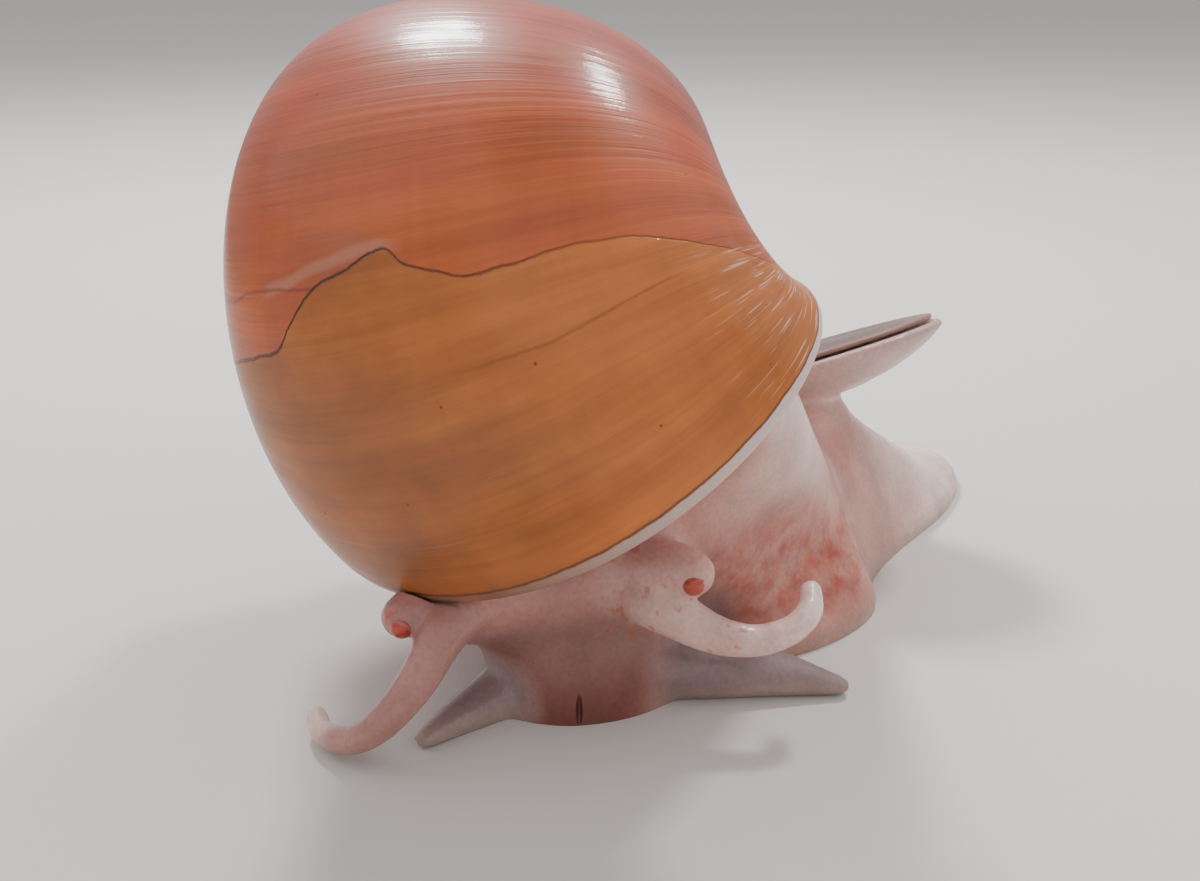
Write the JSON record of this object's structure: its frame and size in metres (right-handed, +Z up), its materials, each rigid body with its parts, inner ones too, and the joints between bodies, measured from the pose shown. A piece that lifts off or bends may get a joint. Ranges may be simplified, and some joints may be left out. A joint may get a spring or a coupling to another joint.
{
  "type": "apple snail",
  "caption": "Life-size apple snail crawling on a broad flat foot, with a coiled orange shell, head lowered, long tentacles and a horny operculum behind.",
  "frame": {"origin": "middle of the whole snail's footprint, on the plane of its sole", "axes": "+Z up; the head faces -Y, turned a little to -X; the tail trails to +X and +Y; the snail's own left is +X"},
  "size_m": [0.0756, 0.0797, 0.0599],
  "materials": {
    "shell": "glossy, fine growth lines",
    "flesh": "soft, moist, slightly translucent",
    "eye": "glossy",
    "horn": "dull, fine rings"
  },
  "bodies": {
    "root": {"eye_left": "eye", "eye_right": "eye", "eyestalk_left": "flesh", "eyestalk_right": "flesh", "foot": "flesh", "head": "flesh", "mantle_collar": "flesh", "neck": "flesh", "nuchal_lobe_right": "flesh", "operculum": "horn", "operculum_lobe": "flesh", "palp_left": "flesh", "palp_right": "flesh", "shell": "shell", "siphon": "flesh", "snout": "flesh", "tail": "flesh", "tentacle_left_1": "flesh", "tentacle_left_2": "flesh", "tentacle_left_3": "flesh", "tentacle_right_1": "flesh", "tentacle_right_2": "flesh", "tentacle_right_3": "flesh"}
  },
  "joints": []
}
